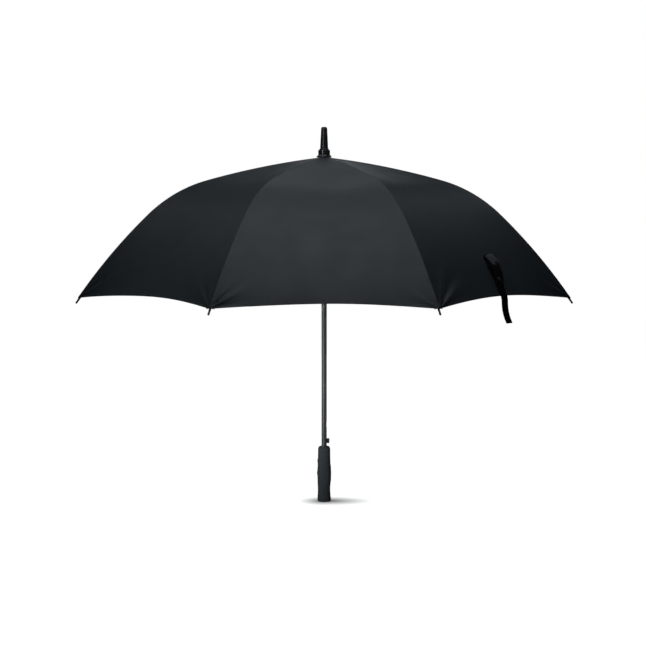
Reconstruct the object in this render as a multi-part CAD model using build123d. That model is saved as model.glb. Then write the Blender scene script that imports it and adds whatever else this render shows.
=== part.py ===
from build123d import *
from math import cos, degrees, radians, sin, sqrt, tan
import os

# Golf umbrella, standing open on the end of its handle. Millimetres, +Z up along the shaft, and the
# origin on the shaft's axis at the bottom of the handle. -Y is the front, +X the button's side.
os.makedirs("parts", exist_ok=True)

# ---------------------------------------------------------------- driving dimensions
RIBS = 8
PITCH = 360 / RIBS
HALF = PITCH / 2

# Canopy seam over a rib, as tangent arcs in the rib's plane: (radius, turn in degrees)
SEAM_START = (13.0, 912.0)
SEAM_SLOPE = 7.3
SEAM_ARCS = [(2200.0, 8.2), (364.0, 27.5), (1370.0, 11.395)]
SEAM_LENGTH = sum(radius * radians(turn) for radius, turn in SEAM_ARCS)
FABRIC = 0.8
SEAM_GAP = 0.3
HEM_RISE = 13.0

# Ribs: glass-fibre rods under the seams, each drawn in two lengths that meet at the knee
ROD_R = 2.0
ROD_DEPTH = 4.0
KNEE_S = 375.0
KNEE_GAP = 0.8
TIP_OUT = 14.0
TIP_R = 2.6
HEAD_THICK = 2.2
HEAD_R = 2.7
HEAD_NECK = 3.6
HEAD_SOCKET = (14.0, 30.0)
HEAD_SOCKET_R = 2.8
CROWN_PIVOT_R = 12.5
WIRE_PLAY = 0.25
TIP_SLEEVE = 8.0
TIP_PLUG = 2.0

# Stretchers: thinner rods from a bracket on each rib down to the runner
BRACKET_S = 280.0
BRACKET_DROP = 7.0
BRACKET_LENGTH = 16.0
BRACKET_R = 2.9
EAR_THICK = 1.0
EAR_WIDTH = 6.4
EAR_START = 2.2
EAR_R = 3.2
RIVET_R = 1.2
RIVET_HEAD_R = 2.0
RIVET_HEAD = 0.8
PLATE_WIDTH = 4.6
PLATE_R = 2.6
STRETCHER_SOCKET_R = 2.5
STRETCHER_ROD_R = 1.8
STRETCHER_LENGTH = 358.0
RUNNER_PIVOT_R = 12.5
UPPER_FLAT = 12.0
LOWER_FLAT = 28.0
SOCKET_LENGTH = 14.0

# Shaft and what is fixed to it
SHAFT_R = 7.0
SHAFT_WALL = 1.6
SHAFT_BOTTOM = 18.0
SHAFT_TOP = 955.0
FIT = 0.05
SEAT = 0.02
NOTCH_R = 15.8
NOTCH_BOTTOM = 899.0
NOTCH_TOP = 910.2
SLOT_WIDTH = 2.6
SLOT_FLOOR_R = 9.4
CROWN_WIRE_R = 0.9
PIN_R = 1.2
PIN_LENGTH = 24.0
PIN_Z = NOTCH_BOTTOM + 3.5
CAP_BOTTOM = 912.5
CAP_FLANGE = (19.3, 5.0)
CAP_COLLAR = (15.5, 14.5)
FERRULE_TOP = 991.5

# Runner, and the spring above it that opens the umbrella
FLANGE_R = 16.0
FLANGE_HALF = 4.0
NECK_R = 9.4
NECK_TOP = 14.0
GRIP_START = -44.0
RUNNER_END = -72.0
RUNNER_GRIP_R = 13.0
SPRING_COLLAR_BOTTOM = 772.0
SPRING_COLLAR_R = 9.6
SPRING_COLLAR_LENGTH = 12.0
SPRING_MEAN_R = 8.1
SPRING_WIRE_R = 0.6

# Handle
HANDLE_TOP = 147.7
CORE_R = 11.8
PLUG_THICK = 5.0
BUTTON_Z = 163.0
BUTTON_PRESS = 3.0
BUTTON_SIZE = (4.2, 9.0, 14.4)
BUTTON_NECK = (7.0, 12.0)
LATCH_Z = 206.5
LATCH_BAR = (152.0, 213.0)
LATCH_WIDTH = 4.0
WINDOW_CUT = 6.0
FOOT_R = 18.1
FOOT_BAND = 9.0

# Closing strap on the gore at the front right
STRAP_GORE = 8
STRAP_WIDTH = 20.0
STRAP_THICK = 1.2
STRAP_SIDE = -2.0
STRAP_TAB = 118.0
TAB_OUTLINE = ((0.0, 10.0, 36.0), (8.0, 3.0, 43.0), (45.0, -3.0, 33.0), (STRAP_TAB, -12.0, 8.0))
STRAP_HANG = 68.0
STRAP_LIFT = 2.2
STRAP_DROP = 4.6
SNAP_R = 6.0
SNAP_THICK = 2.0
SNAP_PLACES = ((22.0, 24.0), (76.0, 8.0))


# ---------------------------------------------------------------- the curve of the canopy
def seam_point(along, depth=0.0):
    """Distance from the axis, height and slope of the seam, or of a curve that deep under it."""
    x, z = SEAM_START
    slope = radians(SEAM_SLOPE)
    left = along
    for radius, turn in SEAM_ARCS:
        step = min(left, radius * radians(turn))
        after = slope + step / radius
        x += radius * (sin(after) - sin(slope))
        z -= radius * (cos(slope) - cos(after))
        slope = after
        left -= step
    x += left * cos(slope)
    z -= left * sin(slope)
    return x - depth * sin(slope), z - depth * cos(slope), slope


def seam_arcs(start, end, depth, squeeze=1.0):
    """Arcs under the seam from start to end, in the XZ plane, with X multiplied by squeeze."""
    stops = [0.0]
    for radius, turn in SEAM_ARCS:
        stops.append(stops[-1] + radius * radians(turn))
    cuts = [start] + [s for s in stops if start + 1 < s < end - 1] + [end]
    arcs = []
    for low, high in zip(cuts, cuts[1:]):
        places = [seam_point(s, depth) for s in (low, (low + high) / 2, high)]
        arcs.append(ThreePointArc(*[(x * squeeze, 0, z) for x, z, _ in places]))
    return arcs


def place_at(x, squeeze=1.0):
    """How far along the seam the curve, with X multiplied by squeeze, is x from the axis."""
    low, high = 0.0, SEAM_LENGTH
    for _ in range(50):
        middle = (low + high) / 2
        if seam_point(middle)[0] * squeeze < x:
            low = middle
        else:
            high = middle
    return low


CROWN_PIVOT = (CROWN_PIVOT_R, seam_point(0, ROD_DEPTH)[1])
KNEE = seam_point(KNEE_S, ROD_DEPTH)
BRACKET_PIVOT = seam_point(BRACKET_S, ROD_DEPTH + BRACKET_DROP)
REACH = BRACKET_PIVOT[0] - RUNNER_PIVOT_R
RUNNER_Z = BRACKET_PIVOT[1] - sqrt(STRETCHER_LENGTH**2 - REACH**2)


# ---------------------------------------------------------------- small helpers
def save(name, *solids):
    """Writes one node, from one solid or from a group of separate ones."""
    shape = solids[0] if len(solids) == 1 else Compound(children=list(solids))
    export_step(shape, "parts/" + name + ".step")


def turned(shape, number):
    """The shape turned to rib number 1 to 8; the first stands at 22.5 degrees."""
    return Rot(0, 0, HALF + PITCH * (number - 1)) * shape


def turned_to_gore(shape, number):
    """The shape turned to gore number 1 to 8; the first is centred on +X."""
    return Rot(0, 0, PITCH * (number - 1)) * shape


def rod(start, end, depth, radius):
    path = Wire(seam_arcs(start, end, depth))
    section = Plane(origin=path @ 0, z_dir=path % 0) * Circle(radius)
    return sweep(section, path=path)


def across(radius, length, x, z):
    """A round bar along Y, centred on the XZ plane."""
    return Pos(x, 0, z) * Rot(90, 0, 0) * Cylinder(radius, length)


def bar(start, slope, first, last, size, thick):
    """A flat bar in the XZ plane: from first to last along a line that falls at slope."""
    place = Pos(start[0], 0, start[1]) * Rot(0, slope, 0)
    return place * Pos((first + last) / 2, 0, 0) * Box(last - first, thick, size)


def tube_on(start, slope, first, last, radius, bore):
    """A round tube on a line in the XZ plane that falls at slope."""
    place = Pos(start[0], 0, start[1]) * Rot(0, slope, 0) * Pos((first + last) / 2, 0, 0) * Rot(0, 90, 0)
    return place * (Cylinder(radius, last - first) - Cylinder(bore, last - first + 2))


def turned_ring(points):
    """A closed profile of (radius, height) points turned about the shaft's axis."""
    return revolve(make_face(Polyline([(r, 0, z) for r, z in points], close=True)), Axis.Z)


def coil_sleeve(mean_radius, wire_radius, height):
    """The space that a close round-wire spring takes up, along Z from the origin."""
    outside = Cylinder(mean_radius + wire_radius, height)
    return Pos(0, 0, height / 2) * (outside - Cylinder(mean_radius - wire_radius, height + 2))


# ---------------------------------------------------------------- ribs and stretchers
def rib_inner():
    slope = degrees(seam_point(HEAD_SOCKET[0])[2])
    eye = across(HEAD_R, HEAD_THICK, *CROWN_PIVOT)
    neck = bar(CROWN_PIVOT, slope, 0, HEAD_SOCKET[0] + 1, HEAD_NECK, HEAD_THICK)
    socket = tube_on(CROWN_PIVOT, slope, *HEAD_SOCKET, HEAD_SOCKET_R, ROD_R + 2 * FIT)
    head = eye + neck + socket - across(CROWN_WIRE_R + WIRE_PLAY, 10, *CROWN_PIVOT)
    body = rod(HEAD_SOCKET[0] + 1.5, KNEE_S - KNEE_GAP, ROD_DEPTH, ROD_R)
    return [head, body, *bracket()]


def bracket():
    """The sleeve on the rib with two ears, and the rivet through them that holds the stretcher."""
    x, z, lean = seam_point(BRACKET_S, ROD_DEPTH)
    place = Pos(x, 0, z) * Rot(0, degrees(lean), 0)
    pivot = place * Pos(0, 0, -BRACKET_DROP) * Rot(90, 0, 0)
    bore = Cylinder(ROD_R + FIT, BRACKET_LENGTH + 2)
    sleeve = place * Rot(0, 90, 0) * (Cylinder(BRACKET_R, BRACKET_LENGTH) - bore)
    gap = SLOT_WIDTH / 2
    rivet = pivot * Cylinder(RIVET_R, 2 * (gap + EAR_THICK))
    for side in (-1, 1):
        y = side * (gap + EAR_THICK / 2)
        web_low = -BRACKET_DROP
        web_high = -EAR_START
        web = Pos(0, y, (web_low + web_high) / 2) * Box(EAR_WIDTH, EAR_THICK, web_high - web_low)
        sleeve += place * web + pivot * Pos(0, 0, y) * Cylinder(EAR_R, EAR_THICK)
        outside = side * (gap + EAR_THICK + RIVET_HEAD / 2)
        rivet += pivot * Pos(0, 0, outside) * Cylinder(RIVET_HEAD_R, RIVET_HEAD)
    return [sleeve - rivet, rivet]


def rib_outer():
    body = rod(KNEE_S + KNEE_GAP, SEAM_LENGTH, ROD_DEPTH, ROD_R)
    x, z, slope = seam_point(SEAM_LENGTH, ROD_DEPTH)
    fall = degrees(slope)
    nose = TIP_OUT - 4
    tip = tube_on((x, z), fall, -TIP_SLEEVE, nose, TIP_R, ROD_R + FIT)
    ball = Pos(x, 0, z) * Rot(0, fall, 0) * Pos(nose, 0, 0) * Sphere(TIP_R)
    plug = bar((x, z), fall, TIP_R, nose, TIP_PLUG, TIP_PLUG)
    return [body, tip + ball + plug]


def stretcher():
    """From its eye at the rib's bracket down to its eye at the runner."""
    x, z = BRACKET_PIVOT[0], BRACKET_PIVOT[1]
    lean = Vector(1, 0, 0).get_signed_angle(Vector(RUNNER_PIVOT_R - x, 0, RUNNER_Z - z), Vector(0, 1, 0))
    start = (x, z)
    place = Pos(x, 0, z) * Rot(0, lean, 0)
    ends = []
    for first, flat, toward in ((0, UPPER_FLAT, 1), (STRETCHER_LENGTH, LOWER_FLAT, -1)):
        inner = first + toward * flat
        plate = bar(start, lean, *sorted((first, inner + toward)), PLATE_WIDTH, HEAD_THICK)
        reach = sorted((inner, inner + toward * SOCKET_LENGTH))
        socket = tube_on(start, lean, *reach, STRETCHER_SOCKET_R, STRETCHER_ROD_R + FIT)
        pivot = place * Pos(first, 0, 0) * Rot(90, 0, 0)
        hole = pivot * Cylinder(RIVET_R + FIT, 10)
        ends.append(plate + pivot * Cylinder(PLATE_R, HEAD_THICK) + socket - hole)
    low, high = UPPER_FLAT + 1.2, STRETCHER_LENGTH - LOWER_FLAT - 1.2
    middle = place * Pos((low + high) / 2, 0, 0) * Rot(0, 90, 0)
    return [ends[0], middle * Cylinder(STRETCHER_ROD_R, high - low), ends[1]]


# ---------------------------------------------------------------- canopy
KNEE_X = seam_point(KNEE_S)[0] * cos(radians(HALF))
HEM_X = seam_point(SEAM_LENGTH)[0] * cos(radians(HALF))


def gore_band(start, end):
    """The fabric's thickness along a gore's centre line, drawn out sideways to full width."""
    squeeze = cos(radians(HALF))
    top = seam_arcs(start, end, 0, squeeze)
    under = seam_arcs(start, end, FABRIC, squeeze)
    ends = [Line(top[0] @ 0, under[0] @ 0), Line(top[-1] @ 1, under[-1] @ 1)]
    face = make_face(top + under + ends)
    return extrude(face, amount=300, dir=(0, 1, 0), both=True)


def gore_plan(near, far, hem_rise=0.0):
    """The gore seen from above: a wedge between two lines, and a curved edge where it has a hem."""
    slope = tan(radians(HALF))
    shrink = SEAM_GAP / 2 / cos(radians(HALF))
    corners = [(x, side * (x * slope - shrink)) for x in (near, far) for side in (-1, 1)]
    edges = [
        Line(corners[0], corners[1]),
        Line(corners[1], corners[3]),
        Line(corners[2], corners[0]),
    ]
    if hem_rise:
        edges.append(ThreePointArc(corners[3], (far - hem_rise, 0), corners[2]))
    else:
        edges.append(Line(corners[3], corners[2]))
    return Pos(0, 0, 500) * extrude(make_face(edges), amount=500)


def gore_inner():
    return gore_band(0, KNEE_S + 5) & gore_plan(SEAM_START[0] * cos(radians(HALF)), KNEE_X - SEAM_GAP / 2)


def gore_outer():
    inset = HEM_RISE * cos(seam_point(SEAM_LENGTH)[2]) / sin(seam_point(SEAM_LENGTH)[2])
    return gore_band(KNEE_S - 5, SEAM_LENGTH) & gore_plan(KNEE_X + SEAM_GAP / 2, HEM_X - 0.05, inset)


# ---------------------------------------------------------------- parts on the shaft
def shaft():
    height = SHAFT_TOP - SHAFT_BOTTOM
    tube = Cylinder(SHAFT_R, height) - Cylinder(SHAFT_R - SHAFT_WALL, height + 2)
    tube = Pos(0, 0, (SHAFT_TOP + SHAFT_BOTTOM) / 2) * tube
    neck_width, neck_height = BUTTON_NECK
    tube -= Pos(SHAFT_R, 0, BUTTON_Z) * Box(2 * WINDOW_CUT, neck_width + 0.6, neck_height + 0.6)
    tube -= Pos(SHAFT_R, 0, LATCH_Z) * Box(WINDOW_CUT, LATCH_WIDTH + 1.2, 15)
    return tube - across(PIN_R + SEAT, 40, 0, PIN_Z)


def radial_slots(shape, floor_r, low, high):
    """The ring with a slot for each rib, open outwards from floor_r."""
    for number in range(1, RIBS + 1):
        slot = Pos(floor_r + 10, 0, (low + high) / 2) * Box(20, SLOT_WIDTH, high - low + 2)
        shape -= turned(slot, number)
    return shape


def crown_notch():
    bore = SHAFT_R + SEAT
    ring = turned_ring(
        [(bore, NOTCH_BOTTOM), (NOTCH_R - 2, NOTCH_BOTTOM), (NOTCH_R, NOTCH_BOTTOM + 3), (NOTCH_R, NOTCH_TOP)]
        + [(bore, NOTCH_TOP)]
    )
    ring = radial_slots(ring, SLOT_FLOOR_R, NOTCH_BOTTOM, NOTCH_TOP)
    ring -= Pos(0, 0, CROWN_PIVOT[1]) * Torus(CROWN_PIVOT_R, CROWN_WIRE_R + SEAT)
    return ring - across(PIN_R + SEAT, 40, 0, PIN_Z)


def top_cap():
    bore = SHAFT_R + SEAT
    flange_r, flange_h = CAP_FLANGE
    collar_r, collar_h = CAP_COLLAR
    low = CAP_BOTTOM
    middle = low + flange_h
    high = middle + collar_h
    return turned_ring(
        [(bore, low), (flange_r, low), (flange_r, low + 2.6), (flange_r - 1.6, middle)]
        + [(collar_r + 0.6, middle), (collar_r, middle + 1.2), (collar_r, high - 1.6)]
        + [(collar_r - 1.6, high), (bore, high)]
    )


def ferrule():
    base = CAP_BOTTOM + CAP_FLANGE[1] + CAP_COLLAR[1]
    bore = SHAFT_R + SEAT
    outline = [
        Line((0, 0, SHAFT_TOP + 1), (bore, 0, SHAFT_TOP + 1)),
        Line((bore, 0, SHAFT_TOP + 1), (bore, 0, base)),
        Line((bore, 0, base), (11.4, 0, base)),
        ThreePointArc((11.4, 0, base), (12.4, 0, base + 1.6), (11.4, 0, base + 3.2)),
        Line((11.4, 0, base + 3.2), (10.5, 0, base + 3.8)),
        Line((10.5, 0, base + 3.8), (8.0, 0, FERRULE_TOP - 4.7)),
        ThreePointArc((8.0, 0, FERRULE_TOP - 4.7), (6.62, 0, FERRULE_TOP - 1.38), (3.3, 0, FERRULE_TOP)),
        Line((3.3, 0, FERRULE_TOP), (0, 0, FERRULE_TOP)),
        Line((0, 0, FERRULE_TOP), (0, 0, SHAFT_TOP + 1)),
    ]
    return revolve(make_face(outline), Axis.Z)


def runner():
    z = RUNNER_Z
    foot = z + RUNNER_END
    bore = SHAFT_R + FIT
    ring = turned_ring(
        [(bore, foot), (RUNNER_GRIP_R + 1.5, foot), (RUNNER_GRIP_R + 1.5, foot + 3)]
        + [(RUNNER_GRIP_R, foot + 8), (RUNNER_GRIP_R, z + GRIP_START - 4), (NECK_R, z + GRIP_START)]
        + [(NECK_R, z - FLANGE_HALF), (FLANGE_R, z - FLANGE_HALF), (FLANGE_R, z + FLANGE_HALF)]
        + [(NECK_R, z + FLANGE_HALF), (NECK_R, z + NECK_TOP), (bore, z + NECK_TOP)]
    )
    ring = radial_slots(ring, SLOT_FLOOR_R + 0.2, z - FLANGE_HALF, z + FLANGE_HALF)
    return ring - Pos(RUNNER_GRIP_R, 0, foot + 6.8) * Box(16, 6, 9)


def spring_collar():
    bore = SHAFT_R + FIT
    low, high = SPRING_COLLAR_BOTTOM, SPRING_COLLAR_BOTTOM + SPRING_COLLAR_LENGTH
    return turned_ring(
        [(bore, low), (SPRING_COLLAR_R, low), (SPRING_COLLAR_R, low + 3), (NECK_R - 0.8, low + 4.5)]
        + [(NECK_R - 0.8, high - 4.5), (SPRING_COLLAR_R, high - 3), (SPRING_COLLAR_R, high), (bore, high)]
    )


def opening_spring():
    low = RUNNER_Z + NECK_TOP + 0.2
    return Pos(0, 0, low) * coil_sleeve(SPRING_MEAN_R, SPRING_WIRE_R, SPRING_COLLAR_BOTTOM - 0.2 - low)


# ---------------------------------------------------------------- handle
def grip():
    """Foam handle: flared foot, waist, palm swell and a rounded shoulder."""
    foot = FOOT_R
    outline = [
        Line((CORE_R + SEAT, 0, 0), (foot - 1.0, 0, 0)),
        ThreePointArc((foot - 1.0, 0, 0), (foot - 0.3, 0, 0.3), (foot, 0, 1.0)),
        Line((foot, 0, 1.0), (foot, 0, 1.0 + FOOT_BAND)),
        ThreePointArc((foot, 0, 1.0 + FOOT_BAND), (foot - 1.2, 0, 18), (foot - 1.7, 0, 30)),
        ThreePointArc((foot - 1.7, 0, 30), (foot - 1.2, 0, 44), (foot, 0, 56)),
        ThreePointArc((foot, 0, 56), (foot + 0.7, 0, 76), (foot - 0.4, 0, 98)),
        ThreePointArc((foot - 0.4, 0, 98), (foot - 1.1, 0, 112), (foot - 1.7, 0, 130)),
        Line((foot - 1.7, 0, 130), (foot - 1.7, 0, HANDLE_TOP - 4)),
        ThreePointArc(
            (foot - 1.7, 0, HANDLE_TOP - 4),
            (foot - 2.9, 0, HANDLE_TOP - 1.2),
            (foot - 5.7, 0, HANDLE_TOP),
        ),
        Line((foot - 5.7, 0, HANDLE_TOP), (SHAFT_R + FIT, 0, HANDLE_TOP)),
        Line((SHAFT_R + FIT, 0, HANDLE_TOP), (SHAFT_R + FIT, 0, HANDLE_TOP - 1.5)),
        Line((SHAFT_R + FIT, 0, HANDLE_TOP - 1.5), (CORE_R + SEAT, 0, HANDLE_TOP - 1.5)),
        Line((CORE_R + SEAT, 0, HANDLE_TOP - 1.5), (CORE_R + SEAT, 0, 0)),
    ]
    return revolve(make_face(outline), Axis.Z)


def handle_core():
    top = HANDLE_TOP - 1.5 - SEAT
    low = PLUG_THICK
    bore = SHAFT_R + SEAT
    return turned_ring(
        [(0, low), (CORE_R, low), (CORE_R, top), (bore, top)]
        + [(bore, SHAFT_BOTTOM - SEAT), (0, SHAFT_BOTTOM - SEAT)]
    )


def end_plug():
    return Pos(0, 0, (PLUG_THICK - SEAT) / 2) * Cylinder(CORE_R, PLUG_THICK - SEAT)


def button():
    """The knob stands off the shaft by its travel, on a neck that goes in through the window."""
    length, width, height = BUTTON_SIZE
    near = SHAFT_R + BUTTON_PRESS + 0.4
    knob = Pos(near + length / 2, 0, BUTTON_Z) * Box(length, width, height)
    outer = knob.edges().filter_by_position(Axis.X, near + 0.1, near + length + 1)
    knob = fillet(outer, 2.4)
    neck_width, neck_height = BUTTON_NECK
    neck = Pos((near + 1 + 1.02) / 2, 0, BUTTON_Z) * Box(near + 1 - 1.02, neck_width, neck_height)
    return knob + neck


def latch():
    """A lever inside the shaft, with the nose that catches the runner's window."""
    low, high = LATCH_BAR
    lever = Pos(0.25, 0, (low + high) / 2) * Box(1.5, LATCH_WIDTH, high - low)
    nose = Pos(3.6, 0, LATCH_Z) * Box(5.6, LATCH_WIDTH, 9.0)
    nose -= Pos(6.4, 0, LATCH_Z - 4.5) * Rot(0, 45, 0) * Box(3.5, 6, 3.5)
    return lever + nose


def button_spring():
    return Pos(-4.6, 0, BUTTON_Z) * Rot(0, 90, 0) * coil_sleeve(1.7, 0.3, 3.8)


# ---------------------------------------------------------------- closing strap
TAB_END_X = HEM_X - 6.0


def sewn_point(x):
    """The point of the gore's middle line that is this far out from the shaft."""
    return Vector(x, 0, seam_point(place_at(x, cos(radians(HALF))))[1])


def strap_line():
    """Where the tab starts, the way down along it and the way out of the cloth, in the gore's plane."""
    low, high_x = sewn_point(TAB_END_X - 1.5), TAB_END_X - STRAP_TAB / 2
    for _ in range(6):
        top = sewn_point(high_x)
        high_x = low.X - (low.X - high_x) * STRAP_TAB / (low - top).length
    top = sewn_point(high_x)
    down = (low - top).normalized()
    return top, down, Vector(-down.Z, 0, down.X)


def strap_tab():
    """The sewn end: a wide top that narrows to the hem, its outline given as (along, left, right)."""
    top, _, out = strap_line()
    left = [(near, -along) for along, near, _ in TAB_OUTLINE]
    right = [(far, -along) for along, _, far in reversed(TAB_OUTLINE)]
    plane = Plane(origin=top + out * STRAP_LIFT, x_dir=(0, 1, 0), z_dir=out)
    return plane * extrude(make_face(Polyline(*left, *right, close=True)), STRAP_THICK)


def strap_snap():
    top, down, out = strap_line()
    lift = STRAP_LIFT + STRAP_THICK + SNAP_THICK / 2 + 0.2
    spots = [top + down * along + Vector(0, side, 0) + out * lift for along, side in SNAP_PLACES]
    return [Plane(origin=spot, z_dir=out) * Cylinder(SNAP_R, SNAP_THICK) for spot in spots]


def strap():
    """The free end, hanging straight down from the hem."""
    top, down, _ = strap_line()
    low = top + down * STRAP_TAB
    middle = low.Z - 0.6 - STRAP_HANG / 2
    return Pos(low.X + STRAP_DROP, STRAP_SIDE, middle) * Box(STRAP_THICK, STRAP_WIDTH, STRAP_HANG)


# ---------------------------------------------------------------- write the nodes
def write_all():
    rib_in, rib_out, strut = rib_inner(), rib_outer(), stretcher()
    cloth_in, cloth_out = gore_inner(), gore_outer()
    for number in range(1, RIBS + 1):
        save(f"rib_inner_{number}", *[turned(piece, number) for piece in rib_in])
        save(f"rib_outer_{number}", *[turned(piece, number) for piece in rib_out])
        save(f"stretcher_{number}", *[turned(piece, number) for piece in strut])
        save(f"canopy_inner_{number}", turned_to_gore(cloth_in, number))
        save(f"canopy_outer_{number}", turned_to_gore(cloth_out, number))
    save("shaft", shaft())
    save("crown_notch", crown_notch())
    save("crown_wire", Pos(0, 0, CROWN_PIVOT[1]) * Torus(CROWN_PIVOT_R, CROWN_WIRE_R))
    save("crown_pin", across(PIN_R, PIN_LENGTH, 0, PIN_Z))
    save("top_cap", top_cap())
    save("ferrule", ferrule())
    save("runner", runner())
    save("spring_collar", spring_collar())
    save("opening_spring", opening_spring())
    save("grip", grip())
    save("handle_core", handle_core())
    save("end_plug", end_plug())
    save("button", button())
    save("latch", latch())
    save("button_spring", button_spring())
    save("strap_tab", turned_to_gore(strap_tab(), STRAP_GORE))
    save("strap_snap", *[turned_to_gore(disc, STRAP_GORE) for disc in strap_snap()])
    save("strap", turned_to_gore(strap(), STRAP_GORE))


write_all()
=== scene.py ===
"""Golf umbrella, open: cloth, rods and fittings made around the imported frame. Metres, +Z up the shaft."""
import bpy
from math import atan2, cos, exp, hypot, pi, radians, sin, tan, tau
from mathutils import Matrix, Vector


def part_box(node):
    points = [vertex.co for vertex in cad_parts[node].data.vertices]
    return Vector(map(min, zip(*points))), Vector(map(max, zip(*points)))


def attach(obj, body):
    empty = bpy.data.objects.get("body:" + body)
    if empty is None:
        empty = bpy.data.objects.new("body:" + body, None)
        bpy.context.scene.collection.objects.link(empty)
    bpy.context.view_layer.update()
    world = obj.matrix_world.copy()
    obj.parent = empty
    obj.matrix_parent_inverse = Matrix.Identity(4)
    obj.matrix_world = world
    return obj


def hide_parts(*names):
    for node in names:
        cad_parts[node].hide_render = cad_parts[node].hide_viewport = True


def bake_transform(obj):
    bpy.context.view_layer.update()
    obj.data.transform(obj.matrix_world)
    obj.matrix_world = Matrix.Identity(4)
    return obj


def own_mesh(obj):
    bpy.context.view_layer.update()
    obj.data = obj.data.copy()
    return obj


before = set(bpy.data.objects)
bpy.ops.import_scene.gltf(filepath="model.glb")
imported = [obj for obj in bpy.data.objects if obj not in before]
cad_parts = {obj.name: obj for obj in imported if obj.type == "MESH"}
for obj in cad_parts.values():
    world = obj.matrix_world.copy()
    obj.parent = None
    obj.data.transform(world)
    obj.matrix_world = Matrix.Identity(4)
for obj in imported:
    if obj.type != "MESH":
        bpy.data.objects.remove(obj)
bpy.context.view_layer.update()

RIBS = 8
PITCH = radians(45)
HALF = PITCH / 2
MM = 0.001

# The seam over a rib, as tangent arcs: start (distance from the axis, height), slope, then (radius, turn)
SEAM_START = (13.0 * MM, 912.0 * MM)
SEAM_SLOPE = radians(7.3)
SEAM_ARCS = [(2200 * MM, radians(8.2)), (364 * MM, radians(27.5)), (1370 * MM, radians(11.395))]
SEAM_LENGTH = sum(radius * turn for radius, turn in SEAM_ARCS)
# Places along the seam of a rib's knee and of its bracket, and how far below the rod the bracket's rivet is
KNEE_S = 375 * MM
BRACKET_S = 280 * MM
BRACKET_DROP = 7 * MM
# The rods' depth under the seam, their radius, where they start, and a distance either side of the knee,
# unused by bend_over_knee
ROD_DEPTH = 4 * MM
ROD_R = 2 * MM
ROD_START = 16 * MM
KNEE_BEND = 70 * MM
# How high the hem curves up between two ribs, and the gores where that differs
HEM_RISE = 13.0 * MM
HEM_RISES = {6: 18.5 * MM, 7: 12.5 * MM, 8: 18.5 * MM}
# The hem's width and extra height, the cloth's thickness, and how deep it sags and ripples between ribs
HEM_WIDTH = 9 * MM
HEM_FOLD = 0.3 * MM
CLOTH = 0.5 * MM
SAG = 5.0 * MM
EASE = 2.0 * MM

RUNNER_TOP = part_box("runner")[1].z
COLLAR_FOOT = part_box("spring_collar")[0].z
BUTTON_LOW, BUTTON_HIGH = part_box("button")


# ---------------------------------------------------------------- curves
def seam(along, depth=0.0):
    """Distance from the axis, height and slope of the seam, or of a curve that deep under it."""
    x, z = SEAM_START
    slope = SEAM_SLOPE
    left = along
    for radius, turn in SEAM_ARCS:
        step = min(left, radius * turn)
        after = slope + step / radius
        x += radius * (sin(after) - sin(slope))
        z -= radius * (cos(slope) - cos(after))
        slope = after
        left -= step
    x += left * cos(slope)
    z -= left * sin(slope)
    return x - depth * sin(slope), z - depth * cos(slope), slope


def smooth(low, high, value):
    share = min(1.0, max(0.0, (value - low) / (high - low)))
    return share * share * (3 - 2 * share)


def spread(points, value):
    """A smooth value between given (place, value) points."""
    if value <= points[0][0]:
        return points[0][1]
    for (a, p), (b, q) in zip(points, points[1:]):
        if value <= b:
            return p + (q - p) * smooth(a, b, value)
    return points[-1][1]


def bell(value, middle, width):
    """1 at the middle, falling smoothly to almost nothing two widths away."""
    return exp(-((value - middle) / width) ** 2)


def polar(azimuth, radius, height, side=0.0):
    """A point at that distance along the azimuth, and that far to its left."""
    return Vector((
        radius * cos(azimuth) - side * sin(azimuth),
        radius * sin(azimuth) + side * cos(azimuth),
        height,
    ))


def rib_azimuth(number):
    return HALF + PITCH * (number - 1)


def gore_azimuth(number):
    return PITCH * (number - 1)


# ---------------------------------------------------------------- meshes
def put(name, data):
    """A new object on the scene."""
    made = bpy.data.objects.new(name, data)
    bpy.context.scene.collection.objects.link(made)
    return made


def make(name, verts, faces, material, body=None, slot=None, sharp=40, uvs=None):
    """A mesh piece with smooth faces, sharp where they meet at more than that angle."""
    mesh = bpy.data.meshes.new(name)
    mesh.from_pydata([tuple(v) for v in verts], [], faces)
    mesh.validate()
    if uvs:
        layer = mesh.uv_layers.new(name="UVMap")
        for loop in mesh.loops:
            layer.data[loop.index].uv = uvs[loop.vertex_index]
    mesh.materials.append(material)
    piece = put(name, mesh)
    mesh.polygons.foreach_set("use_smooth", [True] * len(mesh.polygons))
    mesh.set_sharp_from_angle(angle=radians(sharp))
    if body:
        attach(piece, body)
    return piece


def grid_faces(rows, columns, first=0, wrap=False, flip=False):
    """Faces of a grid of points, row by row; wrap joins the last column to the first."""
    faces = []
    for i in range(rows - 1):
        for j in range(columns if wrap else columns - 1):
            k = (j + 1) % columns
            quad = [first + i * columns + j, first + i * columns + k]
            quad += [first + (i + 1) * columns + k, first + (i + 1) * columns + j]
            faces.append(quad[::-1] if flip else quad)
    return faces


def shell_faces(rows, columns):
    """Faces of two grids of points, one behind the other, closed round their edge."""
    count = rows * columns
    faces = grid_faces(rows, columns, flip=True) + grid_faces(rows, columns, first=count)
    rim = list(range(columns)) + [i * columns + columns - 1 for i in range(1, rows)]
    rim += [(rows - 1) * columns + j for j in range(columns - 2, -1, -1)]
    rim += [i * columns for i in range(rows - 2, 0, -1)]
    return faces + [[a, b, b + count, a + count] for a, b in zip(rim, rim[1:] + rim[:1])]


def capped_faces(rings, sides, flip=False):
    """Faces along a row of rings of points, and both flat ends."""
    last = (rings - 1) * sides
    faces = grid_faces(rings, sides, wrap=True)
    faces += [list(range(sides))[::-1], [last + j for j in range(sides)]]
    return [face[::-1] for face in faces] if flip else faces


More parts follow.
